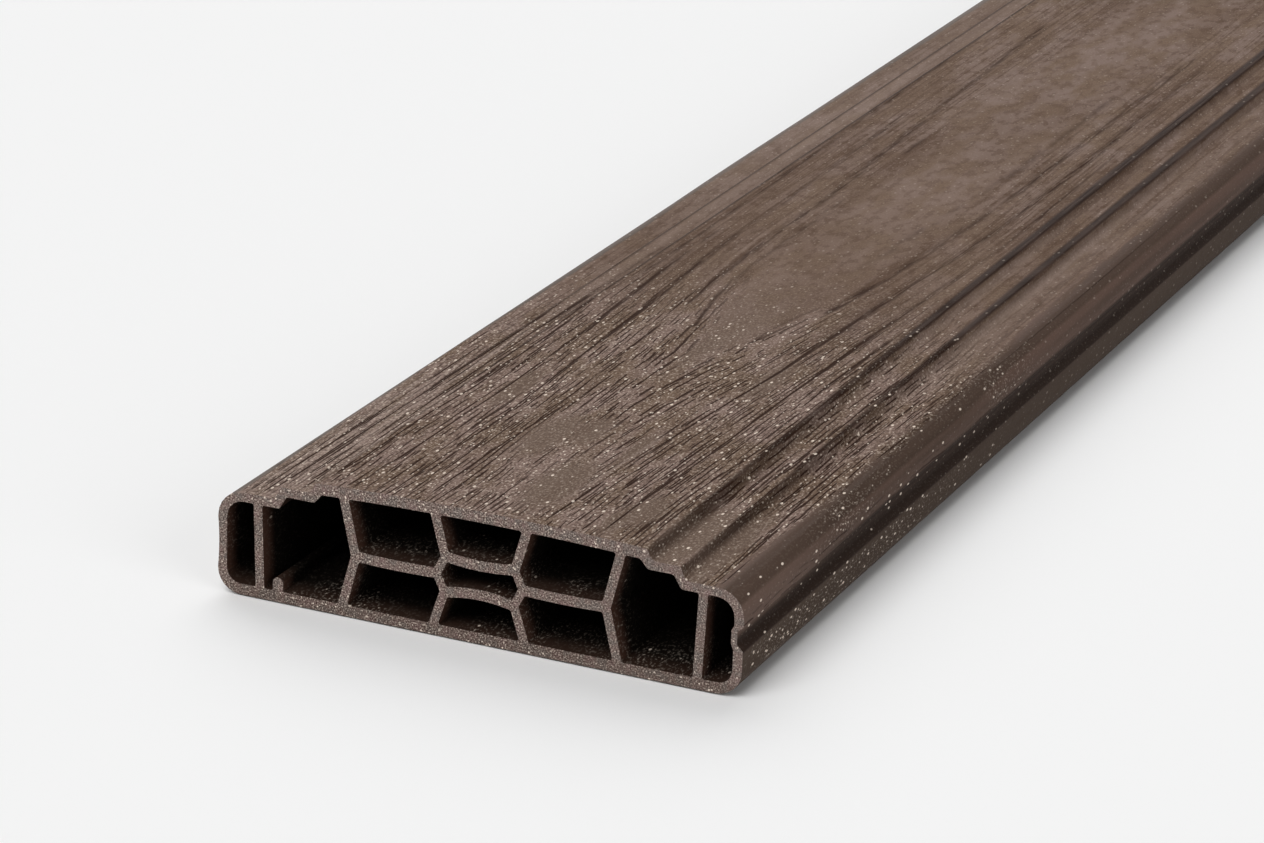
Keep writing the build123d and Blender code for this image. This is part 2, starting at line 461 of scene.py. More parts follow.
outline = divided(turned(roundCorners(outlineCorners(), pieces=6)), outlineSpacing)
holes = [turned(roundCorners(ring, pieces=5)) for ring in chamberCorners()]
print("section drawn:", len(outline), "points round it,", len(holes), "chambers,", len(ringPlaces), "rings")


def setMode(mode):
    bpy.ops.object.mode_set(mode=mode)


def deselectAll():
    for other in bpy.context.selected_objects:
        other.select_set(False)


def placesOf(piece):
    # where the points of a mesh are, a row for each
    places = np.empty(len(piece.data.vertices) * 3)
    piece.data.vertices.foreach_get("co", places)
    return places.reshape(-1, 3)


def drawLoops(name, loops, place):
    # each loop starts as a circle of as many points, which are then set on the section
    deselectAll()
    bpy.ops.mesh.primitive_circle_add(vertices=len(loops[0]), radius=0.01)
    piece = bpy.context.object
    piece.name = piece.data.name = name
    setMode("EDIT")
    for loop in loops[1:]:
        bpy.ops.mesh.primitive_circle_add(vertices=len(loop), radius=0.01)
    setMode("OBJECT")
    points = [(x + s["coreShift"], place, z) for loop in loops for x, z in loop]
    piece.matrix_world = Matrix.Identity(4)
    piece.data.vertices.foreach_set("co", np.array(points).ravel() / 1000)
    piece.data.update()
    return piece


def runAlong(piece, places):
    # extrudes the loops from each place to the next
    setMode("EDIT")
    bpy.ops.mesh.select_mode(type="EDGE")
    bpy.ops.mesh.select_all(action="SELECT")
    for here, there in zip(places, places[1:]):
        bpy.ops.mesh.extrude_region_move(TRANSFORM_OT_translate={"value": (0, (there - here) / 1000, 0)})
    setMode("OBJECT")


skin = drawLoops("trimStrip", [outline], nearEnd)
runAlong(skin, ringPlaces)
print("outside extruded:", len(skin.data.polygons), "faces")

columnCount = len(outline)
ringCount = len(ringPlaces)
points = placesOf(skin).reshape(ringCount, columnCount, 3)


# wood grain, rolled into the warm show face, in mm; places along count from the near end
grainSettings = {
    "seed": 11,
    "depth": 0.16,  # of the deepest strokes
    "sway": 0.6,  # how far the grain wanders sideways
    # steps of the random nets along and across
    "swayNet": (62, 24), "bundleNet": (75, 6.5), "ruffleNet": (26, 3.2),
    "dense": (110, 90),  # strokes are densest so far from the ends, and thin out over so much more
    "sharp": (90, 90),  # and lines are sharp
    "strokesPerMetre": 2000,
    "strokeHalf": (1.9, 0.45),  # logarithm of half a stroke's length: middle and spread
    "longestHalf": 25,
    "strokeWidth": (0.18, 0.32),
    "rowSpacing": 1.3,  # between neighbouring strokes of a bundle
    "margins": (2.6, 3.2),  # without strokes, at the left and right side
    "longLines": 150,
    "longLinesFrom": 410,
    "longLineLength": (120, 420),
    "lineStrokes": 16,  # apart in a long line
    "lineStrokeHalf": (14, 42),
    "straying": 0.13,
    # smooth hearts that the grain parts round: middle, tip, far tip, opening to the left and right
    "hearts": [
        (-1.0, 90, 720, 11, 20), (6.0, 870, 1390, 17, 10), (-9.0, 1520, 2030, 9, 16), (3.0, 2160, 2700, 13, 12),
    ],
    # dark lines of the near end: strength, half width, then points across and along
    "lines": [
        (0.9, 0.2, [(-52, 0), (-51.7, 50), (-51.8, 72)]),
        (1, 0.2, [(-49.6, 4), (-49, 35), (-48.5, 70), (-48.7, 105), (-48, 140)]),
        (0.5, 0.18, [(-54.5, 10), (-54, 60), (-54.3, 80)]),
        (1, 0.22, [(-45.6, 2), (-45.4, 50), (-45, 80), (-44.6, 135)]),
        (0.45, 0.22, [(-44.7, 125), (-44.6, 170), (-44.5, 215)]), (0.7, 0.18, [(-43.9, 3), (-43.6, 32)]),
        (0.6, 0.18, [(-47.9, 5), (-47.7, 40)]), (0.7, 0.18, [(-33.4, 4), (-33.1, 28)]),
        (0.7, 0.18, [(-31.4, 18), (-31, 50)]), (0.6, 0.18, [(-25.6, 6), (-25.2, 30)]),
        (0.6, 0.18, [(-17, 12), (-16.8, 36)]), (0.9, 0.18, [(-41.6, 3), (-41.3, 35)]),
        (0.9, 0.2, [(-41.2, 45), (-41.3, 80), (-41.6, 110), (-41, 140), (-40.8, 200)]),
        (1, 0.25, [(-38.7, 5), (-38.5, 50)]), (0.8, 0.22, [(-39.3, 128), (-39, 180)]),
        (1, 0.24, [(-36, 1), (-35.2, 20), (-35.3, 50), (-34.2, 70), (-34.5, 100), (-34.5, 125)]),
        (0.8, 0.2, [(-36.5, 122), (-36, 140)]),
        (0.9, 0.24, [(-33.8, 155), (-34, 200), (-35, 260), (-36, 350), (-37, 410)]),
        (1, 0.26, [
            (-29.8, 8), (-28.5, 20), (-28, 35), (-27.4, 70),
            (-28.3, 110), (-30, 150), (-31.2, 175), (-31.2, 205),
        ]),
        (0.7, 0.18, [(-30.3, 15), (-29.5, 35)]),
        (1, 0.26, [
            (-20.6, 0), (-19.8, 50), (-20.5, 70), (-22.3, 110),
            (-22.8, 135), (-25.6, 185), (-25.7, 225), (-27.5, 320),
        ]),
        (0.8, 0.18, [(-19.5, 12), (-18.8, 35)]), (0.8, 0.18, [(-23, 40), (-22.5, 75)]),
        (0.9, 0.22, [(-12.9, 1), (-12.5, 40), (-11.3, 70)]), (0.9, 0.22, [(-12, 65), (-13.8, 100), (-14.9, 130)]),
        (1, 0.3, [(-14.8, 138), (-16.5, 160), (-17.3, 185), (-17.2, 235), (-18.8, 270), (-22.5, 360), (-24, 420)]),
        (0.7, 0.24, [(-5, 120), (-8, 132), (-11, 150), (-12.8, 170), (-13.4, 240)]),
        (1, 0.24, [(-14.3, 275), (-14, 300)]), (0.6, 0.18, [(-6.5, 10), (-6.6, 40)]),
        (0.6, 0.18, [(-4, 15), (-3.8, 35)]), (0.9, 0.2, [(7.3, 57), (7.5, 74)]),
        (1, 0.26, [(14.2, 1), (15.2, 20), (15.5, 32)]),
        (1, 0.28, [
            (16.7, 30), (16.4, 45), (18.6, 75), (21.5, 110), (22.5, 135),
            (26, 190), (28.6, 240), (28.6, 320), (28, 400),
        ]),
        (0.8, 0.2, [(17.8, 24), (19.5, 50), (20.5, 65)]),
        (1, 0.24, [(26.8, 0), (27, 25), (28.5, 60), (29, 100), (31.2, 165), (33.9, 225), (33, 320)]),
        (0.8, 0.2, [(23.8, 22), (23.6, 45)]), (0.8, 0.2, [(22, 85), (22.6, 104)]),
        (0.7, 0.18, [(30.5, 62), (31, 82)]), (0.9, 0.22, [(34.2, 8), (34, 30), (35.2, 50), (36.8, 72)]),
        (0.8, 0.22, [(34.2, 88), (34, 110), (35.6, 150)]),
        (0.8, 0.22, [(6, 118), (9, 127), (11.5, 142), (13.2, 150)]),
        (1, 0.3, [(15.5, 148), (17.5, 170), (20.3, 210), (22.8, 265), (22.8, 330), (23.3, 410)]),
        (0.7, 0.34, [(7, 176), (9.5, 182), (11.8, 200), (12.5, 225), (16.2, 275), (16, 360)]),
        (1, 0.2, [(43, 40), (43.2, 60), (43.9, 95), (44.1, 130)]), (0.8, 0.2, [(40.8, 50), (41.2, 80)]),
        (1, 0.24, [(52.5, 8), (52, 25), (50.3, 60), (50, 82)]),
        (0.6, 0.3, [(53.5, 125), (52, 170), (49.8, 245), (50.5, 300)]), (0.5, 0.26, [(-15.5, 320), (-15.5, 430)]),
        (0.35, 1.5, [(2, 360), (4, 460)]),
    ],
    # pale ridges between them, the same way: worn ridges with a painted highlight on them
    "ridges": [
        (1, 0.55, [(-53.2, 1), (-52.9, 50), (-53, 90)]), (1, 0.6, [(-50.7, 2), (-50.2, 60), (-50, 100)]),
        (1, 0.6, [(-47.2, 0), (-46.8, 50), (-46.5, 110), (-46.3, 160)]),
        (1, 0.6, [(-43.6, 2), (-43.2, 50), (-43.2, 120)]), (0.8, 0.5, [(-40.2, 10), (-40, 80)]),
        (0.5, 0.5, [(-37.2, 5), (-36.6, 90)]), (0.5, 0.45, [(12.8, 10), (14.4, 35), (15.6, 65)]),
        (0.5, 0.45, [(-18, 80), (-19, 140)]), (0.14, 2.2, [(-50.8, 200), (-50.8, 500)]),
        (0.42, 1.3, [(49, 125), (49.2, 200), (51, 300), (51, 500)]), (0.35, 1.8, [(-42.4, 120), (-42.4, 500)]),
    ],
    # plain patches: across, along, half of each
    "patches": [
        (-6, 48, 5, 16), (8, 22, 6, 18), (1, 54, 4, 10), (14, 50, 2, 12), (41.8, 14, 5, 24), (48.2, 18, 3, 30),
        (22, 105, 3, 15), (-25, 72, 3, 14), (27, 10, 3, 9), (30, 18, 4, 10),
    ],
}
g = grainSettings


def unit(t):
    return np.clip(t, 0, 1)


def smooth(t):
    t = unit(t)
    return t * t * (3 - 2 * t)


def randomField(rng, along, across, rowStep, columnStep):
    # a smooth random field, read from a coarse net with the given steps in mm
    rows, columns = (along - nearEnd) / rowStep, (across - leftSide) / columnStep
    net = rng.standard_normal((int(rows.max()) + 5, int(max(columns.max(), 0)) + 5))

    def weights(place):
        t = place - np.floor(place)
        inner = [(3 * t ** 3 - 6 * t ** 2 + 4) / 6, (-3 * t ** 3 + 3 * t ** 2 + 3 * t + 1) / 6]
        return [(1 - t) ** 3 / 6, *inner, t ** 3 / 6]

    r, c = np.floor(rows).astype(int), np.floor(columns).astype(int).clip(0)
    total = 0
    for i, wr in enumerate(weights(rows)):
        for j, wc in enumerate(weights(columns)):
            total = total + wr * wc * net[r + i, c + j]
    return total


rng = np.random.default_rng(g["seed"])
section2d = np.array(outline)
outlineX, outlineZ = section2d[:, 0] + s["coreShift"], section2d[:, 1]
stepPlaces = {side: stepCorners(side, False) for side in (-1, 1)}
crownLeft, crownRight = (stepPlaces[side][0][0] + s["coreShift"] for side in (-1, 1))
onFace = outlineZ > lowerHeight - 0.7
risers = [(crownLeft, crownLeft - s["riserRun"]), (crownRight, crownRight + s["riserRun"])]
risers += [tuple(sorted(x + s["coreShift"] for x, z in stepPlaces[side][2:4])) for side in (-1, 1)]
clear = np.min([np.maximum(np.abs(outlineX - (p + q) / 2) - abs(p - q) / 2, 0) for p, q in risers], axis=0)

gridX = np.tile(outlineX, (ringCount, 1))
gridY = np.tile(ringPlaces[:, None], (1, columnCount))
swayed = np.where(onFace, unit((clear - 0.4) / 4), 0)
shift = randomField(rng, gridY, gridX, *g["swayNet"]) * g["sway"] * swayed
onCrown = onFace & (outlineX > crownLeft) & (outlineX < crownRight)
zero = round(nearEnd)  # where the places along count from
for middle, tip, close, openLeft, openRight in g["hearts"]:
    tip, close = zero + tip, zero + close
    side = np.where(gridX > middle, 1, -1)
    limit = np.where(side > 0, crownRight, crownLeft)
    away = np.abs(gridX - middle)
    t = unit(away / np.abs(limit - middle))
    reach = np.where(side > 0, openRight, openLeft)
    spread = side * reach * (1 - t) ** 0.9 * (1 - np.exp(-away / 2.0))
    # it opens sooner further out, and on its wider side
    early = unit(away / 15) * np.where((side > 0) == (openRight > openLeft), 1, 0.1)
    begin, end = tip - 20 - 85 * early, tip + 115 + 35 * early
    opened = smooth((gridY - begin) / (end - begin)) * (1 - smooth((gridY - close + 170) / 170))
    shift = shift + np.where(onCrown, spread * opened, 0)
placeX = gridX + shift
stretch = np.gradient(placeX, axis=1) / np.where(np.abs(np.gradient(outlineX)) < 0.05, 1e9, np.gradient(outlineX))
plain = np.where(onCrown, unit((stretch - 1.7) / 1.3), 0)
for x, y, halfX, halfY in g["patches"]:
    plain = np.maximum(plain, smooth(1.6 - 1.3 * np.hypot((placeX - x) / halfX, (gridY - (zero + y)) / halfY)) * onFace)

bundles = randomField(rng, gridY, gridX, *g["bundleNet"])
bundles = bundles + 0.6 * randomField(rng, gridY, gridX, *g["ruffleNet"])
fromEnd = np.minimum(gridY - nearEnd, farEnd - gridY)
nearness = 1 - smooth((fromEnd - g["dense"][0]) / g["dense"][1])
density = np.clip(0.40 + 0.5 * bundles + 0.5 * nearness, 0.03, 1) * (1 - plain) * np.where(onFace & (clear > 0.5), 1, 0)
grain = np.zeros((ringCount, columnCount))


def press(column, middle, half, width, strength):
    # one stroke, running along a column of the mesh and fading at its ends
    columns = slice(max(column - 7, 0), column + 8)
    away = np.abs(placeX[:, columns] - placeX[:, column:column + 1])
    ends = unit((half - np.abs(ringPlaces - middle)) / (half * 0.45 + 2) + 0.1)
    stroke = strength * ends[:, None] * unit(1.15 - away / width)
    grain[:, columns] = np.maximum(grain[:, columns], stroke)


leftMargin, rightMargin = g["margins"]
between = (outlineX > leftSide + leftMargin) & (outlineX < rightSide - rightMargin)
faceColumns = np.flatnonzero(onFace & (clear > 0.5) & between)
rows = np.round(outlineX[faceColumns] / g["rowSpacing"])
rowColumns = faceColumns[np.flatnonzero(np.diff(rows, prepend=rows[0] - 1))]
strokeCount = int(g["strokesPerMetre"] * (farEnd - nearEnd) / 1000)
for _ in range(strokeCount):
    column = rng.choice(rowColumns) + rng.integers(-1, 2)
    middle = nearEnd + (farEnd - nearEnd) * rng.random() ** 1.25
    ring = int(np.searchsorted(ringPlaces, middle).clip(0, ringCount - 1))
    if density[ring, column] < rng.random():
        continue
    half = min(rng.lognormal(*g["strokeHalf"]), g["longestHalf"])
    strength = rng.uniform(0.7, 1.0) * (0.45 + 0.55 * nearness[ring, column])
    press(column, middle, half, rng.uniform(*g["strokeWidth"]), strength)


def softness(y):
    # the lines are sharp near the ends and melt into broad furrows further in
    return smooth((np.minimum(y - nearEnd, farEnd - y) - g["sharp"][0]) / g["sharp"][1])


def drawnLine(path, half, depth, spread):
    # how strongly a line through given points marks every place of the face
    ys = [zero + y for x, y in path]
    wander = randomField(rng, ringPlaces, ringPlaces * 0 + leftSide, 22, 24) * 0.22
    xs = np.interp(ringPlaces, ys, [x for x, y in path]) + wander
    inside = unit(np.minimum(ringPlaces - ys[0] + 1, ys[-1] + 1 - ringPlaces) / 9)
    soft = softness(ringPlaces)
    wide = half * (1.3 + spread * soft)
    uneven = np.clip(1 + 0.28 * randomField(rng, ringPlaces, ringPlaces * 0 + leftSide, 17, 24), 0, 1.15)
    level = depth * inside * uneven * (1 - 0.36 * soft)
    away = np.abs(placeX - xs[:, None]) / wide[:, None]
    tail = 1 - 0.35 * soft[:, None] * unit(away - 0.6)
    return level[:, None] * unit(1.15 - away * tail) * onFace


def pressLine(x, start, end, strength):
    # a long line made of overlapping strokes that stray a little
    for _ in range(max(3, int((end - start) / g["lineStrokes"]))):
        column = int(np.argmin(np.abs(outlineX - x - rng.normal(0, g["straying"])) + ~onFace * stripWidth))
        middle = rng.uniform(start, end)
        soft = softness(middle)
        half = rng.uniform(*g["lineStrokeHalf"])
        width = (0.24 + 0.75 * soft) * rng.uniform(0.7, 1.3)
        press(column, middle, half, width, strength * rng.uniform(0.6, 1.0) * (1 - 0.42 * soft))


for _ in range(g["longLines"]):
    start = rng.uniform(zero + g["longLinesFrom"], farEnd)
    x = outlineX[rng.choice(faceColumns)]
    end = min(start + rng.uniform(*g["longLineLength"]), farEnd)
    pressLine(x, start, end, rng.uniform(0.6, 1.0))
grain *= 1 - plain
for strength, half, path in g["lines"]:
    grain = np.maximum(grain, drawnLine(path, half, strength, 5.0))
ridge = np.zeros((ringCount, columnCount))
for strength, half, path in g["ridges"]:
    ridge = np.maximum(ridge, drawnLine(path, half, strength, 1.0))
grain *= unit(fromEnd / 4)

rise = np.interp(placeX, outlineX[onFace], outlineZ[onFace])
points[:, :, 0] = placeX / 1000
points[:, :, 2] = np.where(onCrown, rise, outlineZ) / 1000 - grain * g["depth"] / 1000
skin.data.vertices.foreach_set("co", points.ravel())


def mark(piece, name, values):
    # one number at every point of the mesh
    values = np.atleast_1d(values)
    shape = (len(piece.data.vertices) // values.shape[-1], values.shape[-1])
    attribute = piece.data.attributes.new(name, "FLOAT", "POINT")
    attribute.data.foreach_set("value", np.broadcast_to(values, shape).ravel().astype(float))


# where the roll brushed the face, in mm
brushSettings = {
    "leftShoulder": (3.9, 1.3),  # smooth at the ends, and so much wider further in
    "rightShoulder": [(0, 3.6), (30, 3.6), (55, 1.0), (150, 1.0), (190, 4.2), (230, 4.2), (300, 2.2)],  # from the end
    "fades": (1.6, 5.4),  # left, right
}
b = brushSettings
around = np.concatenate([[0], np.cumsum(np.hypot(*np.diff(section2d, axis=0).T))])
turnX, turnZ = np.gradient(outlineX), np.gradient(outlineZ)
facing = np.abs(turnX) / np.hypot(turnX, turnZ)
facingUp = smooth((facing - 0.72) / 0.24)  # counts beyond 52
# 1 where the roll touched the face, and 0 on the shoulders and the sides
brushed = np.where(np.abs(outlineX) < 52, 1.0, facingUp) * (outlineZ > lowerHeight - 3)
inwards = b["leftShoulder"][0] + b["leftShoulder"][1] * smooth((fromEnd - 60) / 120)
outwards = np.interp(fromEnd, *zip(*b["rightShoulder"]))
brushed = np.minimum(brushed, unit((gridX - leftSide - inwards) / b["fades"][0] + 0.5))
brushed = np.minimum(brushed, unit((rightSide - outwards - gridX) / b["fades"][1]))
stepEdges = [
    # where, how high, towards which side; painted shade band on to the face at the cut, grown by, how soon;
    # how dark the painted shade on the riser is at the cut, to where; how pale the painted highlight further in, to
    # where
    (crownRight, edgeHeight, 1, 0.1, 1.9, 85, (0.84, 4.0), (0.32, 3.8)),
    (risers[3][0], upperHeight, 1, -0.1, 2.3, 130, (0.88, 2.8), (0.50, 4.6)),
    (crownLeft, edgeHeight, -1, 0.2, 0.5, 85, (0.45, 2.4), (0, 1)),
    (risers[2][1], upperHeight, -1, 0.2, 0.5, 85, (0.45, 2.4), (0, 1)),
]
shade = np.zeros((ringCount, columnCount))
for edge, height, side, reach, growth, soon, (depth, footReach), (paintedLift, breadth) in stepEdges:
    corner = int(np.argmin(np.hypot(outlineX - edge, outlineZ - height)))
    beyond = side * (around - around[corner] + placeX - gridX)  # mm along the skin, outwards from the edge
    reach = reach + growth * (1 - np.exp(-fromEnd / soon))
    band = unit((beyond + reach) / 1.0 + 0.5) * unit(1.2 - beyond / 0.6)
    foot = depth * np.exp(-(fromEnd / 95) ** 2) * unit((footReach - beyond) / (footReach * 0.6))
    foot = foot * (beyond > 0)
    shade = np.maximum(shade, np.maximum(band, foot) * onFace)
    # painted highlight: the lower riser and the shelf at its foot made paler further from the cut
    paintedLift = paintedLift * smooth((fromEnd - 60) / 120) * (1 - 0.5 * smooth((fromEnd - 220) / 80))
    wearAndHighlight = paintedLift * unit((beyond - 0.8) / 0.7) * unit((breadth - beyond) / 1.4)
    ridge = np.maximum(ridge, wearAndHighlight * onFace)
shade *= 0.7 + 0.3 * smooth(fromEnd / 40)
brushed = np.minimum(brushed, 1 - shade * 0.8 * (1 - 0.6 * nearness))
marks = {"grain": grain, "ridge": ridge, "plain": plain, "brushed": brushed, "shade": shade * 0.9, "hollow": 0}
for name, values in marks.items():
    mark(skin, name, values)
skinMap = np.stack([np.tile(around, (ringCount, 1)), gridY], axis=-1).reshape(-1, 2) / 1000
print("grain pressed:", strokeCount, "strokes tried")

hollow = drawLoops("chambers", holes, nearEnd)
short, long = meshSettings["chamberRings"]
runAlong(hollow, [nearEnd, nearEnd + short, nearEnd + long, farEnd - long, farEnd - short, farEnd])
for name in marks:
    mark(hollow, name, name == "hollow")


def cornerPoints(piece):
    # which point of the mesh each corner of its faces is
    numbers = np.empty(len(piece.data.loops), int)
    piece.data.loops.foreach_get("vertex_index", numbers)
    return numbers


def layMap(piece, places):
    # the map called skin, which gives every corner a place across and along
    layers = piece.data.uv_layers
    layer = layers[0] if layers else layers.new()
    layer.name = "skin"
    layer.data.foreach_set("uv", places.ravel())


# outside, the map follows the section round, and the last column is carried on beyond its end
across = skinMap[cornerPoints(skin)].reshape(-1, 4, 2)
whole = around[-1] / 1000 + 0.001
wraps = (across[:, :, 0].max(1) - across[:, :, 0].min(1)) > whole / 2
across[:, :, 0] += np.where(wraps[:, None] & (across[:, :, 0] < whole / 2), whole, 0)
layMap(skin, across)
hollowX, hollowY, hollowZ = placesOf(hollow).T
hollowMap = np.stack([hollowX + hollowZ * 1.7, hollowY], axis=-1)  # slanted, so that no wall is seen edge on
layMap(hollow, hollowMap[cornerPoints(hollow)])

# join, close both ends round the chambers, and turn every face outwards
deselectAll()
hollow.select_set(True)
skin.select_set(True)
bpy.context.view_layer.objects.active = skin
bpy.ops.object.join()
for end in (nearEnd, farEnd):
    setMode("EDIT")
    bpy.ops.mesh.select_mode(type="EDGE")
    bpy.ops.mesh.select_all(action="DESELECT")
    setMode("OBJECT")
    atEnd = np.abs(placesOf(skin)[:, 1] - end / 1000) < 1e-5
    pairs = np.empty(len(skin.data.edges) * 2, int)
    skin.data.edges.foreach_get("vertices", pairs)
    pairs = pairs.reshape(-1, 2)
    skin.data.edges.foreach_set("select", atEnd[pairs].all(1))
    setMode("EDIT")
    bpy.ops.mesh.fill(use_beauty=True)
    setMode("OBJECT")
setMode("EDIT")
bpy.ops.mesh.select_all(action="SELECT")
bpy.ops.mesh.normals_make_consistent(inside=False)
setMode("OBJECT")
bpy.ops.object.shade_smooth_by_angle(angle=math.radians(55))
skin.data.calc_loop_triangles()
print("strip closed:", len(skin.data.loop_triangles), "triangles")

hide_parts("trim_strip")
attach(skin, "root")


# colours of the strip, as 0-255
finish = {
    "brushedNear": (130, 110, 101), "brushed": (119, 100, 89), "brushedFar": (124, 106, 97),
    "brushedWarm": (109, 90, 76), "brushedDeep": (88, 69, 57), "rubbed": (107, 90, 79), "pale": (152, 134, 124),
    "smoothNear": (97, 78, 69), "smooth": (93, 73, 64), "smoothDeep": (56, 43, 34), "smoothLow": (70, 57, 48),
    "leftShoulder": (99, 89, 83), "dark": (38, 20, 11), "mouth": (70, 48, 39), "floor": (44, 31, 25),
    "deep": (12, 9, 7), "groove": (33, 20, 12), "band": (30, 14, 5), "fleck": (232, 216, 200),
    "cut": (119, 103, 97), "cutGrey": (112, 101, 96), "cutPink": (123, 103, 99),
}
# where it changes along the strip, in mm from the nearer end
reaches = {
    "deepBite": (105, 190), "floorDust": (4, 20), "wallDust": (2, 11), "lowScuffs": (40, 170),
    "highScuffsStart": (25, 55), "highScuffsEnd": (140, 190), "farTone": (170, 330), "paleNear": (30, 110),
    "paleFar": (190, 300), "sideTone": (20, 120), "sideShadows": (22, 75), "browSinks": (120, 170),
    "browPales": (150, 200), "darkSideStart": (15, 60), "darkSideEnd": (130, 180), "mouthWalls": (1, 6),
    "mouthFloor": (0.5, 9),
}
# and with the height, mostly on the right side
heights = {
    "sawnFoot": (1.8, 3.2), "lowestSide": (5.5, 9.0), "lowScuffs": (8.5, 10), "grooveFoot": (9.5, 10.1),
    "lowSide": (9.8, 10.2), "grooveTop": (12.2, 14.4), "lipFoot": (12.5, 13.5), "scrapeFoot": (14.4, 15.6),
    "highScuffs": (15, 18), "lipTop": (15.5, 16.6), "scrapeTop": (17, 18.5), "darkSideTop": (20.0, 21.5),
    "brow": (20.4, 21.3),
}


def stripFinish():
    material, shader, tree = newMaterial("speckledPvc")
    x, y, z = (part * 1000 for part in tree.split(tree.node("ShaderNodeTexCoord", output=3)))
    u, v = (part * 1000 for part in tree.split(tree.node("ShaderNodeUVMap", {"uv_map": "skin"}))[:2])
    upward = tree.split(tree.node("ShaderNodeNewGeometry", output=3))[2]

    def painted(name):
        return tree.node("ShaderNodeAttribute", {"attribute_name": name}, output=2)

    def flat(across, along, detail=1.0):
        # noise on the strip's own skin, as many times a millimetre across and along
        return tree.noise(tree.point(u * across, v * along), detail=detail, dimensions="2D")

    def larger(first, second):
        return tree.maths("MAXIMUM", first, second)

    def beyond(name):
        return fromEnd.step(*reaches[name])

    def near(name):
        return 1 - beyond(name)

    def above(name):
        return z.step(*heights[name])

    def below(name):
        return 1 - above(name)

    pressed, ridge, plainPatch, inside = (painted(name) for name in ("grain", "ridge", "plain", "hollow"))
    fromEnd = farEnd - tree.maths("ABSOLUTE", y)
    cut = fromEnd < 0.05
    endward = near("deepBite")  # the roll bites deepest towards the ends
    ragged = flat(0.5, 0.05, 2.0) - 0.5
    brushed = (painted("brushed") + ragged * 0.9).step(0.28, 0.72)
    face = brushed * (1 - cut)

    def strokeRows(spacing, half, length, low, high):
        # short strokes in rows along the strip, here and there
        row = u * (1 / spacing) + (flat(0.05, 0.02) * 2.6 + flat(0.4, 0.09) * 0.5) * (1 / spacing)
        number = tree.maths("FLOOR", row)
        off = tree.maths("ABSOLUTE", row - number - 0.5)
        gate = tree.noise(tree.point(number * 7.31, v * (1 / length)), detail=1.0, dimensions="2D").step(low, high)
        return (gate * (half / spacing) - off).step(0.0, 0.08 / spacing)

    bundles = flat(0.13, 0.014).step(0.30, 0.46)
    strokes = larger(strokeRows(1.35, 0.22, 11, 0.48, 0.56), strokeRows(0.90, 0.15, 6, 0.55, 0.63) * 0.9)
    outer = (-38 - x).step(-1, 1)
    fine = strokes * larger(bundles, endward * 0.9) * face * (1 - plainPatch)
    fine = fine * (0.10 + 0.90 * endward) * (1 - outer * 0.4)
    onRight = x > 56.5
    scraped = above("scrapeFoot") * below("scrapeTop") * onRight * flat(0.4, 0.02).step(0.35, 0.55)
    fine = larger(fine, strokes * scraped * (0.3 + 0.7 * endward) * 0.8)
    bands = flat(0.30, 0.009, 2.0).step(0.42, 0.70)
    furrows = flat(0.8, 0.018, 2.0).step(0.48, 0.66) * (1 - endward) * face * (1 - plainPatch)

    # speckle of the stuff itself, drawn out a little along the strip
    drawn = tree.point(x, y * 0.5, z)
    specks = tree.noise(drawn, scale=2.2 + cut * 0.6, detail=1.0, rough=0.6)
    mottle = tree.noise(tree.point(x, y * 0.35, z), scale=0.16, detail=3.0)
    crackle = tree.noise(drawn, scale=0.38, detail=3.0, rough=0.6).step(0.48, 0.62)
    clouds = tree.noise(drawn, scale=0.09, detail=2.0)
    tone = tree.noise(tree.point(x, y * 0.22, z), scale=0.06, detail=2.0).step(0.38, 0.64)

    def flecksOf(size, radius, rarity):
        spots = tree.node("ShaderNodeTexVoronoi", {"feature": "F1"}, {"Vector": drawn, "Scale": 1 / size})
        pick = tree.split(Signal(tree.tree, spots.socket.node.outputs["Color"]))[0]
        return (1 - spots.step(radius / size * 0.7, radius / size * 1.2)) * (pick > rarity)

    floorward = upward.step(0.2, 0.8)
    upright = 1 - tree.maths("ABSOLUTE", upward).step(0.2, 0.8)
    sawdust = near("floorDust") * floorward + near("wallDust") * upright * 0.6
    sawdust = sawdust * clouds.step(0.40, 0.58)
    scuffs = below("lowScuffs") * near("lowScuffs") * clouds.step(0.36, 0.56)
    highScuffs = above("highScuffs") * beyond("highScuffsStart") * near("highScuffsEnd")
    scuffs = scuffs + highScuffs * clouds.step(0.42, 0.60)
    scuffs = scuffs * onRight * (1 - inside) * (1 - cut)
    shade = painted("shade")
    sawnGrit = cut * (1.6 - 0.45 * x.step(10, 40))
    grit = larger(face * (0.12 + 0.88 * endward) * (1 - plainPatch * 0.5), sawnGrit) * 0.92
    grit = grit + inside * sawdust * 0.45
    grit = (0.08 + larger(grit, scuffs * 0.5)) * (1 - shade * 0.7)
    shown = 1 - inside * (1 - sawdust)
    coarse = flecksOf(1.9, 0.30, 0.52 + inside * 0.22) * (0.15 + 0.85 * endward)
    flecks = larger(coarse, flecksOf(1.0, 0.19, 0.60) * grit) * shown
    flecks = larger(flecks, flecksOf(1.4, 0.24, 0.62) * scuffs)

    def layered(colour, *layers):
        # how much of which colour comes over the ones before
        for share, name in layers:
            colour = share.blend(colour, fromPaint(*finish[name]))
        return colour

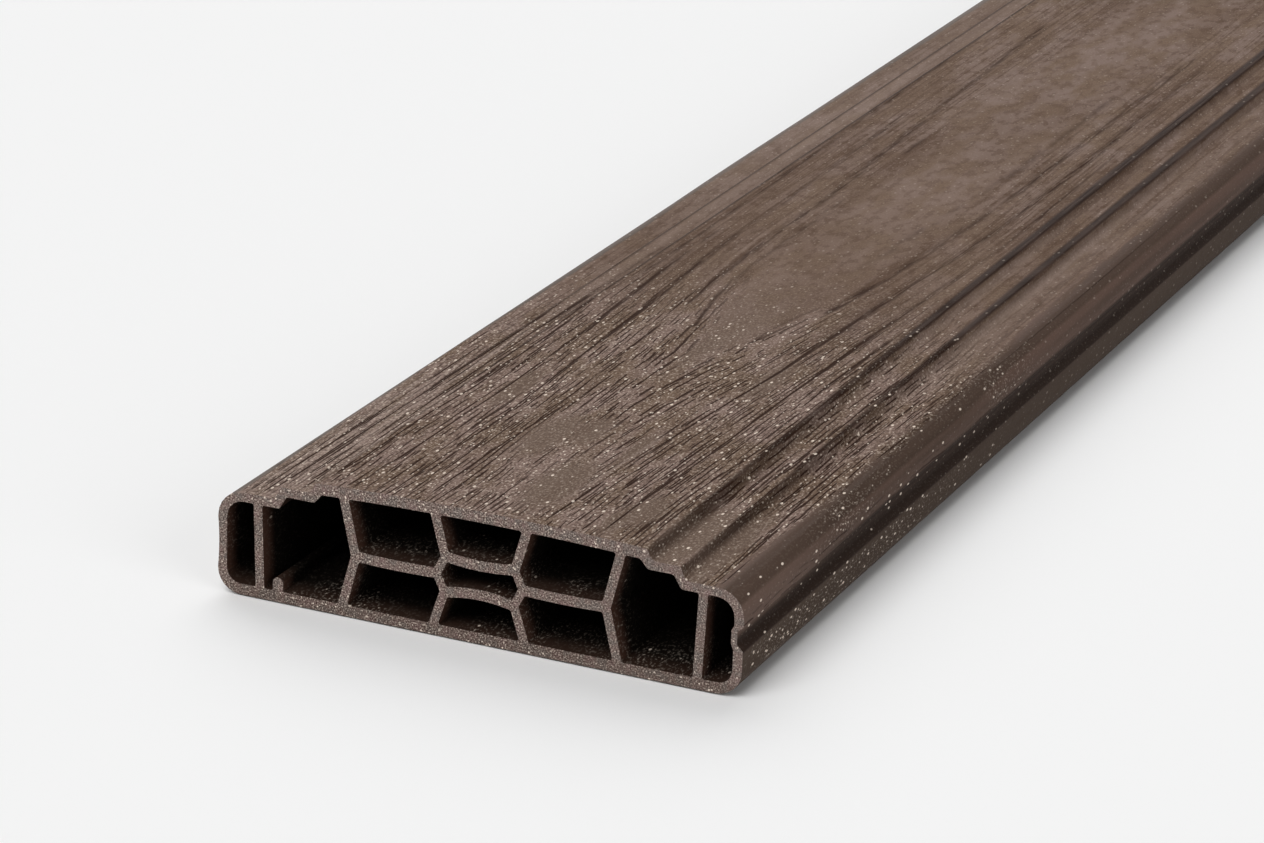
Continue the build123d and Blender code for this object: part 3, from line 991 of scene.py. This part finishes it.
    blotches = (crackle * 0.45 + tone * 0.34 - 0.08) * (1 - endward)
    # painted light: the left shelves made paler, most near the ends
    paintedLeftLight = larger(endward * near("paleNear") * 0.34, beyond("paleFar") * 0.14)
    top = layered(
        fromPaint(*finish["brushed"]),
        (beyond("farTone"), "brushedFar"),
        (endward, "brushedNear"),
        (mottle.step(0.36, 0.64), "brushedWarm"),
        (plainPatch * endward, "rubbed"),
        ((bands * 0.34 + furrows * 0.5 + blotches).clip(), "brushedDeep"),
        (outer * paintedLeftLight, "pale"),
    )
    awayFromCut = beyond("sideShadows")
    # the right side below the shoulder made darker from a little way in from the cut, less so further on
    sideDarkening = below("darkSideTop") * onRight * beyond("darkSideStart") * (0.36 - 0.18 * beyond("darkSideEnd"))
    sides = layered(
        fromPaint(*finish["smoothNear"]),
        (beyond("sideTone"), "smooth"),
        (1 - x.step(-56, -50), "leftShoulder"),
        (below("lowSide") * onRight, "smoothLow"),
        # painted shade: the right side darker towards the floor
        (below("lowestSide") * onRight * 0.28 * awayFromCut, "smoothDeep"),
        (bands * 0.35 + sideDarkening, "smoothDeep"),
        # painted shade under the groove's upper lip and down in the groove
        (above("lipFoot") * below("lipTop") * onRight * awayFromCut * 0.88, "groove"),
        (above("grooveFoot") * below("grooveTop") * onRight * 0.97, "groove"),
    )
    # painted shade along the top of the right shoulder
    browHeight = z + 0.8 * near("browSinks")
    browDepth = 0.60 + 0.20 * awayFromCut - 0.10 * beyond("browPales")
    outside = layered(
        brushed.blend(sides, top),
        (x.step(52.8, 56.8) * browHeight.step(*heights["brow"]) * browDepth, "smoothDeep"),
        # pale ridges, worn and with a painted highlight, and the painted highlight at the riser feet
        ((ridge * 0.8 * (0.5 + mottle)).clip(), "pale"),
        ((shade + shade * ragged * 0.8).clip(), "band"),
    )
    # painted shade: inside the chambers the walls and floors go dark a few mm in from the mouth
    walls = layered(
        fromPaint(*finish["deep"]),
        (upright * near("mouthWalls") * 0.8, "mouth"),
        (floorward * near("mouthFloor"), "floor"),
    )
    tint = tree.noise(tree.point(x, y, z), scale=0.35, detail=2.0)
    sawn = layered(
        fromPaint(*finish["cutGrey"]),
        (tint.step(0.42, 0.52), "cut"),
        (tint.step(0.55, 0.65), "cutPink"),
        # painted shade at the foot of the cut face, by the floor
        (below("sawnFoot") * 0.35, "smoothLow"),
    )
    wearAndHighlight = ((flat(0.9, 0.09, 3.0) - 0.5) * 3.2 + 0.62 + endward * 0.7).clip()
    crisp = pressed.step(0.27, 0.58) * endward + pressed.step(0.08, 0.92) * (1 - endward)
    marks = larger(crisp * (1 - cut) * wearAndHighlight, fine)
    colour = layered(
        cut.blend(inside.blend(outside, walls), sawn),
        ((1 - specks.step(0.34, 0.50)) * 0.45 * grit, "dark"),
        (specks.step(0.54, 0.68) * 0.28 * grit, "fleck"),
        (marks * 0.94, "dark"),
        (flecks * 0.88, "fleck"),
    )
    colour.to(shader.inputs["Base Color"])
    (0.52 + brushed * 0.2 + specks * 0.15).to(shader.inputs["Roughness"])
    height = specks * grit * 0.5 - marks * 1.2 + flecks * 0.4 + ragged * 0.5 + crackle * 0.2
    bump = tree.node("ShaderNodeBump", None, {"Height": height, "Strength": 0.7, "Distance": 0.0002})
    bump.to(shader.inputs["Normal"])
    shader.inputs["Specular IOR Level"].default_value = 0.04
    return material


skin.data.materials.clear()
skin.data.materials.append(stripFinish())
print("finish laid on")


# floor and light
studio = {
    "paper": (243, 243, 243),
    "sky": 0.14,  # share of the light on a level surface
    "lamps": {  # share, from where, degrees across
        "frontLamp": (0.51, (-0.1, -0.8, 1.0), 45),
        "backLamp": (0.28, (-0.45, 0.8, 0.85), 60),
        "fillLamp": (0.08, (1.0, -0.4, 0.45), 40),
    },
}
deselectAll()
bpy.ops.mesh.primitive_plane_add(size=16, location=(0, 0, -0.0004))
floor = bpy.context.object
floor.name = floor.data.name = "paperFloor"
paper, paperShader, _ = newMaterial("palePaper")
paperShader.inputs["Base Color"].default_value = fromPaint(*studio["paper"])
paperShader.inputs["Roughness"].default_value = 0.9
paperShader.inputs["Specular IOR Level"].default_value = 0.0
floor.data.materials.append(paper)

for name, (share, source, size) in studio["lamps"].items():
    toLamp = Vector(source).normalized()
    lamp = bpy.data.lights.new(name, "SUN")
    lamp.energy = math.pi * share / toLamp.z
    lamp.angle = math.radians(size)
    lampObject = bpy.data.objects.new(name, lamp)
    bpy.context.scene.collection.objects.link(lampObject)
    lampObject.rotation_mode = "QUATERNION"
    lampObject.rotation_quaternion = toLamp.to_track_quat("Z", "Y")

world = bpy.data.worlds.new("paleStudio")
bpy.context.scene.world = world
world.use_nodes = True
worldTree = Signal(world.node_tree)
world.node_tree.nodes.clear()
path = worldTree.node("ShaderNodeLightPath").socket.node
kinds = ("Is Camera Ray", "Is Glossy Ray", "Is Transmission Ray")
rays = [Signal(world.node_tree, path.outputs[kind]) for kind in kinds]
seen = (rays[0] + rays[1] + rays[2]).clip()
light = worldTree.node("ShaderNodeBackground", None, {"Color": (1, 1, 1, 1), "Strength": studio["sky"]})
backdrop = worldTree.node("ShaderNodeBackground", None, {"Color": fromPaint(*studio["paper"]), "Strength": 1.0})
shown = worldTree.node("ShaderNodeMixShader", None, {0: seen, 1: light, 2: backdrop})
shown.to(world.node_tree.nodes.new("ShaderNodeOutputWorld").inputs["Surface"])
bpy.context.scene.view_settings.view_transform = "Standard"
print("floor and light set")
